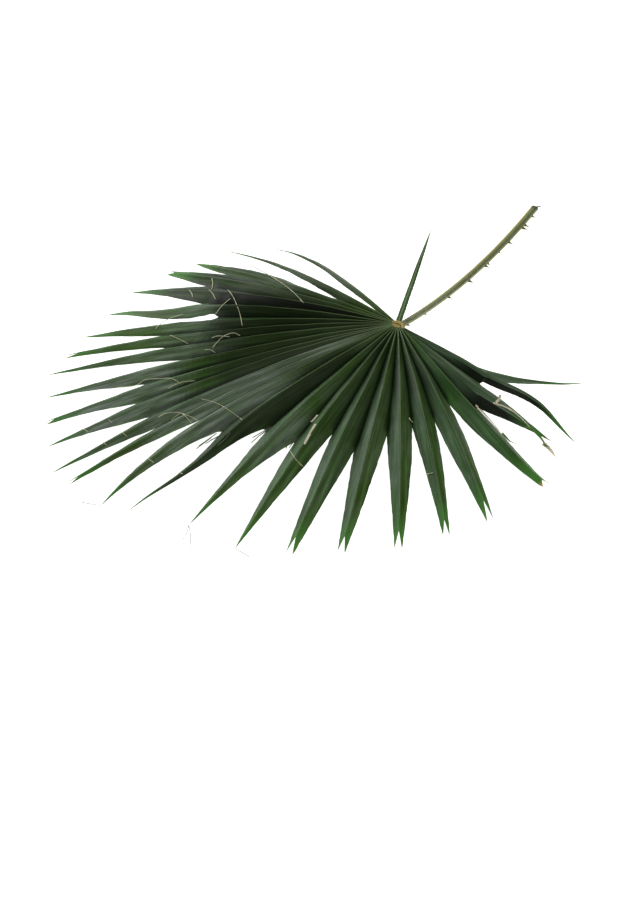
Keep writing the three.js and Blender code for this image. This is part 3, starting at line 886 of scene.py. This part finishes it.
def add_thorn(bm, distance, side, size):
    """One hooked thorn: broad at its root in the stalk's margin, bent back to the cut end."""
    down = THORN_DOWN_RIGHT if side > 0 else THORN_DOWN_LEFT
    outward = (STALK_RIGHT * side - UP * down).normalized()
    root = stalk_middle(distance) + STALK_RIGHT * side * (STALK_HALF_WIDTH - THORN_SINK)
    reach = (THORN_LENGTH + THORN_SINK) * size

    def place(row, column):
        out = row / (THORN_ROWS - 1)
        centre = root + outward * reach * out + STALK_ALONG * THORN_HOOK * size * out ** 2
        width = THORN_ROOT * size * lerp(THORN_TIP, 1, (1 - out) ** THORN_FLARE)
        if row == THORN_ROWS - 1:
            width = 0
        turn = 2 * math.pi * column / THORN_SIDES
        section = STALK_ALONG * math.cos(turn) + UP * THORN_FLATNESS * math.sin(turn)
        return centre + section * width

    spots, faces = patch(bm, THORN_ROWS, THORN_SIDES + 1, place)
    horn = bm.verts.layers.float["thorn"]
    for vert, (row, _) in spots.items():
        vert[horn] = row / (THORN_ROWS - 1)
    map_patch(bm, spots, faces, lambda row, column: (column * MM, distance + row * MM))


def close_shell(bm):
    """Merges a shell's seams, closes what is open at its ends and turns its faces outwards."""
    bmesh.ops.remove_doubles(bm, verts=bm.verts, dist=SHELL_MERGE)
    open_edges = [edge for edge in bm.edges if edge.is_boundary]
    bmesh.ops.holes_fill(bm, edges=open_edges, sides=0)
    bmesh.ops.recalc_face_normals(bm, faces=bm.faces)


def stalk_shell():
    bm = new_shell("thorn")
    spots, faces = patch(bm, STALK_STATIONS + 3, STALK_SIDES + 1, stalk_place)
    around = 2 * (STALK_HALF_WIDTH + STALK_HALF_THICK)
    map_patch(bm, spots, faces,
              lambda row, column: (around * (column / STALK_SIDES - 0.25), stalk_distance(row)))
    for i, distance in enumerate(THORNS_RIGHT):
        add_thorn(bm, distance * MM, 1, THORN_SIZES_RIGHT[i % len(THORN_SIZES_RIGHT)])
    for i, distance in enumerate(THORNS_LEFT):
        add_thorn(bm, distance * MM, -1, THORN_SIZES_LEFT[i % len(THORN_SIZES_LEFT)])
    close_shell(bm)
    return bm


# The stalk's finish. Margins are on the UV map across, the rest along from the hub.
OLIVE_STREAKS = (0.3, 0.7)
SPECKLE_SCALE = 420
SPECKLES = (0.52, 0.66)
SPECKLES_FADE = (0.02, 0.2)
SPECKLE_COVER = (0.85, 0.3)
LEFT_MARGIN = (0.4 * MM, -0.8 * MM)
LEFT_MARGIN_COVER = 0.85
RIGHT_MARGIN = (2.6 * MM, 3.6 * MM)
RIGHT_MARGIN_COVER = 0.45
CUT_DARKENS = 8 * MM  # before the cut end
THORN_STARTS = (0.12, 0.3)  # shares of a thorn's length
THORN_TIP_STARTS = (0.5, 0.85)


def stalk_material():
    material, shader, surface = new_material("palm_stalk")
    axes = shader.node("ShaderNodeSeparateXYZ", {"Vector": shader.flat_map()})
    along = axes.node.outputs[1]
    thorn = shader.attribute("thorn")
    streaks = shader.streaks()
    green = shader.blend(shader.band(streaks, *OLIVE_STREAKS), STALK_OLIVE, STALK_GREEN)
    speckles = shader.blotches(shader.place(), SPECKLE_SCALE, *SPECKLES)
    speckle_fade = shader.ramp(along, *SPECKLES_FADE, *SPECKLE_COVER)
    green = shader.cover(green, speckles, speckle_fade, STALK_SPECKLE)
    for limits, cover in ((LEFT_MARGIN, LEFT_MARGIN_COVER), (RIGHT_MARGIN, RIGHT_MARGIN_COVER)):
        green = shader.cover(green, shader.band(axes, *limits), cover, STALK_YELLOW)
    cut = shader.band(along, STALK_LENGTH - CUT_DARKENS, STALK_LENGTH)
    green = shader.blend(cut, green, CUT_GREEN)
    green = shader.blend(shader.band(thorn, *THORN_STARTS), green, THORN_BROWN)
    green = shader.blend(shader.band(thorn, *THORN_TIP_STARTS), green, THORN_TAN)
    shader.links.new(green, surface.inputs["Base Color"])
    shader.links.new(shader.raised(streaks, 0.4, 0.3 * MM), surface.inputs["Normal"])
    surface.inputs["Roughness"].default_value = 0.5
    surface.inputs["Specular IOR Level"].default_value = 0.4
    return material


def ridge_shell():
    """The hub's tan ridge: an uneven low arch over an arc, thin at both ends."""
    bm = new_shell()

    def place(row, column):
        share = row / RIDGE_STATIONS
        turn = math.radians(lerp(RIDGE_TO, RIDGE_FROM, share))
        outward = Vector((math.cos(turn), math.sin(turn), 0))
        middle = RIDGE_CENTRE + outward * RIDGE_RADIUS
        swell = lerp(RIDGE_END_SIZE, 1, math.sin(math.pi * share))
        if row in (0, RIDGE_STATIONS):
            swell = 0
        angle = 2 * math.pi * column / RIDGE_SIDES
        point = middle + outward * RIDGE_HALF_WIDTH * swell * math.cos(angle)
        point += UP * RIDGE_HALF_HEIGHT * swell * math.sin(angle)
        rough = RIDGE_ROUGHNESS * swell * noise.noise(point * RIDGE_GRAIN)
        return point + (point - middle).normalized() * rough

    spots, faces = patch(bm, RIDGE_STATIONS + 1, RIDGE_SIDES + 1, place)
    map_patch(bm, spots, faces,
              lambda row, column: (column * RIDGE_MAP_STEP, row * RIDGE_MAP_STEP))
    close_shell(bm)
    return bm


RIDGE_SPECKLE_SCALE = 900
RIDGE_SPECKLES = (0.35, 0.65)


def ridge_material():
    material, shader, surface = new_material("palm_ridge")
    grain = shader.noise(shader.place(), RIDGE_SPECKLE_SCALE, 3.0)
    tan = shader.blend(shader.band(grain, *RIDGE_SPECKLES), RIDGE_BROWN, RIDGE_TAN)
    shader.links.new(tan, surface.inputs["Base Color"])
    shader.links.new(shader.raised(shader.streaks(2.0), 0.5, 0.3 * MM), surface.inputs["Normal"])
    surface.inputs["Roughness"].default_value = 0.65
    return material


blade_bm = blade_sheet()
close_sheet(blade_bm, SHEET_DROP)
blade_tree = BVHTree.FromBMesh(blade_bm)
finish_mesh(blade_bm, "leaf_blade", blade_material(), "blade")
finish_mesh(stalk_shell(), "leaf_stalk", stalk_material(), "stalk")
finish_mesh(ridge_shell(), "hub_ridge", ridge_material(), "hastula")

# Pale threads, each as a path of the photograph's pixels over the blade.
THREADS = (
    ((249, 264), (270, 275), (290, 289), (304, 303)),
    ((211, 277), (212, 283), (211, 289)),
    ((208, 289), (212, 293), (215, 299)),
    ((188, 289), (191, 293), (192, 297)),
    ((227, 289), (233, 297), (239, 312), (242, 326)),
    ((230, 298), (222, 305), (214, 315)),
    ((217, 266), (219, 264), (219, 262)),
    ((212, 348), (222, 337), (233, 333), (240, 336)),
    ((211, 338), (218, 336), (230, 337)),
    ((204, 350), (210, 350), (215, 353)),
    ((154, 329), (165, 320), (183, 314)),
    ((169, 335), (178, 339), (188, 344)),
    ((116, 388), (134, 386), (145, 380), (160, 379), (172, 379), (181, 385)),
    ((167, 389), (180, 383), (195, 381)),
    ((158, 418), (165, 414), (178, 413), (190, 417), (198, 421)),
    ((171, 421), (181, 414), (192, 424)),
    ((200, 399), (215, 403), (228, 410), (243, 421)),
    ((108, 420), (112, 423)),
    ((82, 429), (88, 432)),
    ((121, 432), (127, 437)),
    ((102, 442), (107, 446)),
    ((148, 459), (154, 463)),
    ((178, 473), (183, 474)),
    ((290, 451), (296, 460), (303, 467)),
)
# Loose slivers, fresh and dry: half the width in millimetres, and the path's pixels.
GREEN_SLIVERS = (
    (3.4, ((526, 426), (533, 430), (540, 437), (545, 444), (549, 452))),
    (2.0, ((502, 433), (508, 439.5), (513, 444.5), (518, 450.5))),
)
DRY_SLIVERS = (
    (1.3, ((318, 415), (314, 420), (311, 423))),
    (1.4, ((316, 424), (310, 434), (304, 445))),
    (1.0, ((409, 418), (411, 421), (413, 423))),
    (1.0, ((425, 475), (429, 474), (433, 473))),
    (1.8, ((476, 405), (484.5, 414), (491.5, 421.5), (498.5, 429.5), (503.5, 434.5))),
    (1.8, ((493, 403), (505, 407), (513, 412), (521, 418), (531, 429))),
    (0.9, ((500, 405), (510, 409), (519, 415))),
    (1.6, ((501, 395), (499, 400), (496, 403))),
    (3.4, ((544, 443), (548, 452), (551, 461), (553, 469), (555, 477))),
)
# Loose hairs that run from a segment's tip over the floor: its row, and the path's pixels.
TIP_HAIRS = (
    (17, ((244, 553), (250, 557))),
    (16, ((191, 537), (190, 548))),
    (16, ((187, 533), (183, 540))),
    (14, ((92, 504), (81, 502))),
)
THREAD_RADIUS = 0.4 * MM
THREAD_LIFT = 0.7 * MM
PATH_LOWEST = 3 * MM
PATH_STEPS = 6  # between two points of a path
STRAND_SIDES = 6
STRAND_MAP_STEPS = (0.3 * MM, 1.0 * MM)  # on the UV map, between columns and between rows
HAIR_RADIUS = 0.35 * MM
HAIR_HEIGHT = 0.8 * MM
HAIR_SETTLES = 0.5  # share of a hair's length from which it lies on the floor
SLIVER_THICKNESS = 0.35 * MM
SLIVER_TWIST = 0.9  # radians from end to end
CAST_DEPTH = 2.0  # metres before the hub at which a ray starts
CAST_STEPS = 100


def pixel_start(u, v):
    """Where a pixel's ray starts, well before the leaf."""
    right = (u - HUB_PIXEL[0]) * PIXEL
    up = (HUB_PIXEL[1] - v) * PIXEL
    return HUB + CAMERA_RIGHT * right + CAMERA_UP * up - CAMERA_AHEAD * CAST_DEPTH


def depth_towards_hub(u, v):
    """How far a ray runs to the first bit of blade on the straight way from a pixel to the hub."""
    for step in range(CAST_STEPS):
        way = step / CAST_STEPS
        start = pixel_start(lerp(u, HUB_PIXEL[0], way), lerp(v, HUB_PIXEL[1], way))
        depth = blade_tree.ray_cast(start, CAMERA_AHEAD)[3]
        if depth is not None:
            return depth
    return CAST_DEPTH


def pixel_depths(pixels):
    """How far each pixel's ray runs to the blade. A miss takes its depth from its neighbours."""
    depths = [blade_tree.ray_cast(pixel_start(*pixel), CAMERA_AHEAD)[3] for pixel in pixels]
    if not any(depths):
        depths[0] = depth_towards_hub(*pixels[0])
    known = [i for i, depth in enumerate(depths) if depth is not None]
    filled = []
    for i in range(len(depths)):
        before = max((k for k in known if k <= i), default=known[0])
        after = min((k for k in known if k >= i), default=known[-1])
        share = (i - before) / (after - before) if after > before else 0
        filled.append(lerp(depths[before], depths[after], min(max(share, 0), 1)))
    return filled


def spline(p, q, r, s, t):
    """One coordinate of a smooth curve from q to r, which has p before it and s after it."""
    square = 2 * p - 5 * q + 4 * r - s
    cube = 3 * q - p - 3 * r + s
    return (2 * q + (r - p) * t + square * t ** 2 + cube * t ** 3) / 2


def curve_through(points, steps):
    """Points on a smooth curve through the given ones."""
    ends = [points[0], *points, points[-1]]
    curve = []
    for four in zip(ends, ends[1:], ends[2:], ends[3:]):
        for i in range(steps):
            curve.append(tuple(spline(*axis, i / steps) for axis in zip(*four)))
    return [*curve, tuple(points[-1])]


def path_on_blade(pixels, lift):
    """A smooth path over the blade under a row of pixels, never below the floor."""
    fine = curve_through(pixels, PATH_STEPS)
    path = []
    for pixel, depth in zip(fine, pixel_depths(fine)):
        point = pixel_start(*pixel) + CAMERA_AHEAD * depth + UP * lift
        point.z = max(point.z, PATH_LOWEST)
        path.append(point)
    return path


def path_to_floor(tip, pixels):
    """A path that starts at a tip and runs out over the floor."""
    from_hub = tip - HUB
    tip_pixel = (HUB_PIXEL[0] + from_hub.dot(CAMERA_RIGHT) / PIXEL,
                 HUB_PIXEL[1] - from_hub.dot(CAMERA_UP) / PIXEL)
    fine = curve_through([tip_pixel, *pixels], PATH_STEPS)
    path = []
    for i, pixel in enumerate(fine):
        height = lerp(tip.z, HAIR_HEIGHT, smooth(i / len(fine), 0, HAIR_SETTLES))
        start = pixel_start(*pixel)
        path.append(start + CAMERA_AHEAD * ((start.z - height) / math.sin(ELEVATION)))
    return path


def add_strand(bm, path, half_width, half_thickness, twist=0.0):
    """A closed strand along a path, round or flat, that runs out to a point at both ends."""
    last = len(path) - 1

    def place(row, column):
        ahead = (path[min(row + 1, last)] - path[max(row - 1, 0)]).normalized()
        sideways = ahead.cross(UP).normalized()
        over = sideways.cross(ahead)
        size = 0 if row in (0, last) else 1
        angle = 2 * math.pi * column / STRAND_SIDES
        turn = twist * row / last
        wide = half_width * size * math.cos(angle)
        thick = half_thickness * size * math.sin(angle)
        return (path[row] + sideways * (wide * math.cos(turn) - thick * math.sin(turn))
                + over * (wide * math.sin(turn) + thick * math.cos(turn)))

    spots, faces = patch(bm, len(path), STRAND_SIDES + 1, place)
    aside, ahead = STRAND_MAP_STEPS
    map_patch(bm, spots, faces, lambda row, column: (column * aside, row * ahead))


DRY_BLOTCH_SCALE = 90
DRY_BLOTCHES = (0.5, 0.7)
DRY_BLOTCH_COVER = 0.4
DRY_STREAKS = (0.5, 0.3)
DRY_STREAK_COVER = 0.5
DRY_FINENESS = 3.0


def dry_material(name, light, dark):
    """Loose fibre of one colour with blotches and streaks of a darker one."""
    material, shader, surface = new_material(name)
    spots = shader.blotches(shader.place(), DRY_BLOTCH_SCALE, *DRY_BLOTCHES)
    colour = shader.cover(light, spots, DRY_BLOTCH_COVER, dark)
    streaks = shader.band(shader.streaks(DRY_FINENESS), *DRY_STREAKS)
    colour = shader.cover(colour, streaks, DRY_STREAK_COVER, dark)
    shader.links.new(colour, surface.inputs["Base Color"])
    surface.inputs["Roughness"].default_value = 0.6
    return material


# Torn fibres at the ragged splits, as paths of the photograph's pixels that start on the blade.
TORN_FIBRES = (
    ((226, 431), (219, 436), (210, 440.5)),
    ((227, 433), (222, 437), (213, 442.5)),
    ((224, 433), (215, 438), (205, 444)),
    ((217, 433), (210, 438), (198, 446.5)),
    ((212, 437), (204, 443), (196, 449)),
    ((230, 432), (226, 438), (217, 446)),
    ((272, 426), (259, 436), (251, 443)),
    ((268, 428), (262, 432), (252, 438)),
    ((273, 427), (266, 431), (259, 436)),
    ((296, 437), (288, 443), (286, 449)),
    ((297, 439), (292, 444), (289, 448)),
    ((292, 438), (287, 441), (282, 443)),
    ((299, 437), (295, 442), (293, 448)),
    ((152, 407), (147, 411), (141, 413)),
    ((155, 406), (150, 409), (144, 415)),
)
FRAYED_NOTCHES = (11, 14, 15, 16)  # segments whose split from the next one is torn
FRAYS_EACH = 14
FRAY_SEED = 11
FRAY_SPREAD = 4 * MM
FRAY_RADIUS = 0.55 * MM
FRAY_STEPS = 5
FRAY_BACK = (2, 5)  # millimetres that a fray starts before the split
FRAY_LENGTH = (4, 10)  # millimetres
FRAY_HALF_WIDTH = (0.2, 0.5)  # millimetres
FRAY_HALF_THICK = 0.2 * MM
FRAY_LIFT = 0.6 * MM
FRAY_SLOPE = 0.5  # rise of the start per unit aside
FRAY_LEAN = 0.7  # sideways at most, per unit along
FRAY_RISE = 0.3
FRAY_CURL = 1.5
SPLIT_LOOK_BACK = 0.05

# The torn wisp at the stalk's cut end, in millimetres from a place on its edge.
CUT_WISP = ((-2, 0, -0.5), (1, 0.5, 0), (4, 0.8, -0.2), (7, 0.8, -1))
WISP_WIDTH = 0.8 * MM
WISP_ROOT = (STALK_RIGHT + UP) * 2 * MM


def add_frays(bm):
    """Short torn fibres that stand out of the ragged splits."""
    draw = random.Random(FRAY_SEED)
    for k in FRAYED_NOTCHES:
        share = split_share(k)
        root = valley(joined[k], joined[k + 1], share)
        ahead = (root - valley(joined[k], joined[k + 1], share - SPLIT_LOOK_BACK)).normalized()
        sideways = ahead.cross(UP).normalized()
        for _ in range(FRAYS_EACH):
            aside = draw.uniform(-1, 1)
            start = root + sideways * aside * FRAY_SPREAD - ahead * draw.uniform(*FRAY_BACK) * MM
            start.z += abs(aside) * FRAY_SPREAD * FRAY_SLOPE + FRAY_LIFT
            length = draw.uniform(*FRAY_LENGTH) * MM
            lean = sideways * draw.uniform(-FRAY_LEAN, FRAY_LEAN) + UP * draw.uniform(0.0, FRAY_RISE)
            shares = [i / FRAY_STEPS for i in range(FRAY_STEPS + 1)]
            path = [start + (ahead + lean * out ** FRAY_CURL) * length * out for out in shares]
            add_strand(bm, path, draw.uniform(*FRAY_HALF_WIDTH) * MM, FRAY_HALF_THICK)


def thread_strands():
    bm = new_shell()
    for pixels in THREADS:
        add_strand(bm, path_on_blade(pixels, THREAD_LIFT), THREAD_RADIUS, THREAD_RADIUS)
    close_shell(bm)
    return bm


def torn_strands():
    """Torn fibres at the splits, hairs at the tips, frays, and the wisp at the cut end."""
    bm = new_shell()
    for pixels in TORN_FIBRES:
        add_strand(bm, path_on_blade(pixels, 0), FRAY_RADIUS, FRAY_RADIUS)
    for k, pixels in TIP_HAIRS:
        add_strand(bm, path_to_floor(crest(joined[k], 1), pixels), HAIR_RADIUS, HAIR_RADIUS)
    add_frays(bm)
    root = stalk_middle(STALK_LENGTH) + WISP_ROOT
    add_strand(bm, [root + Vector(offset) * MM for offset in CUT_WISP], WISP_WIDTH, FRAY_RADIUS)
    close_shell(bm)
    return bm


def sliver_strands(rows):
    """Flat twisted slivers, each with its half width and its path over the blade."""
    bm = new_shell()
    for half_width, pixels in rows:
        path = path_on_blade(pixels, THREAD_LIFT)
        add_strand(bm, path, half_width * MM, SLIVER_THICKNESS, SLIVER_TWIST)
    close_shell(bm)
    return bm


thread = dry_material("palm_thread", THREAD_PALE, STRAW_DARK)
torn = dry_material("palm_torn", TORN_PALE, TORN_DARK)
straw = dry_material("palm_straw", STRAW, STRAW_DARK)
fresh = dry_material("palm_sliver", FRESH_SLIVER, WARM_GREEN)
finish_mesh(thread_strands(), "leaf_threads", thread)
finish_mesh(torn_strands(), "torn_fibres", torn)
finish_mesh(sliver_strands(DRY_SLIVERS), "dry_slivers", straw)
finish_mesh(sliver_strands(GREEN_SLIVERS), "green_slivers", fresh)

FLOOR_HALF_SIZE = 8.0
FLOOR_GLOW = 1.2
# The soft lights: direction, distance and size in metres, and power in watts.
SOFTBOXES = (
    ("key", (-0.62, 0.66, 0.42), 3.0, 1.8, 70),
    ("side", (0.5, -0.62, 0.9), 3.0, 1.2, 26),
)
SKY_STRENGTH = 0.12
SKY_SHADE = 0.9
VIEW_END = 100  # metres, past which the camera sees nothing


def add_floor():
    bm = bmesh.new()
    bmesh.ops.create_grid(bm, x_segments=1, y_segments=1, size=FLOOR_HALF_SIZE)
    mesh = bpy.data.meshes.new("floor")
    bm.to_mesh(mesh)
    bm.free()
    material, _, surface = new_material("pale_floor")
    surface.inputs["Base Color"].default_value = FLOOR_PALE
    surface.inputs["Roughness"].default_value = 0.9
    surface.inputs["Emission Color"].default_value = FLOOR_PALE
    surface.inputs["Emission Strength"].default_value = FLOOR_GLOW
    mesh.materials.append(material)
    floor = bpy.data.objects.new("floor", mesh)
    bpy.context.scene.collection.objects.link(floor)


def add_softbox(name, direction, distance, size, power):
    """A square soft light that looks at the leaf from a direction."""
    light = bpy.data.lights.new(name, "AREA")
    light.shape = "SQUARE"
    light.size = size
    light.energy = power
    lamp = bpy.data.objects.new(name, light)
    lamp.location = Vector(direction).normalized() * distance
    lamp.rotation_euler = (-lamp.location).to_track_quat("-Z", "Y").to_euler()
    bpy.context.scene.collection.objects.link(lamp)


def add_world(strength, shade):
    world = bpy.data.worlds.new("studio")
    world.use_nodes = True
    background = world.node_tree.nodes["Background"]
    background.inputs["Color"].default_value = (shade, shade, shade, 1)
    background.inputs["Strength"].default_value = strength
    bpy.context.scene.world = world


def add_camera():
    data = bpy.data.cameras.new("camera")
    data.lens = LENS
    data.sensor_width = SENSOR
    data.clip_end = VIEW_END
    camera = bpy.data.objects.new("camera", data)
    distance = LENS / SENSOR * IMAGE_HEIGHT * PIXEL
    right = (IMAGE_WIDTH / 2 - HUB_PIXEL[0]) * PIXEL
    up = (HUB_PIXEL[1] - IMAGE_HEIGHT / 2) * PIXEL
    aim = HUB + CAMERA_RIGHT * right + CAMERA_UP * up
    camera.location = aim + CAMERA_AHEAD * (LEAF_MIDDLE_DEPTH - distance)
    camera.rotation_euler = (math.pi / 2 - ELEVATION, 0, 0)
    bpy.context.scene.collection.objects.link(camera)
    bpy.context.scene.camera = camera


add_floor()
for softbox in SOFTBOXES:
    add_softbox(*softbox)
add_world(SKY_STRENGTH, SKY_SHADE)
add_camera()
bpy.context.scene.view_settings.view_transform = "Standard"
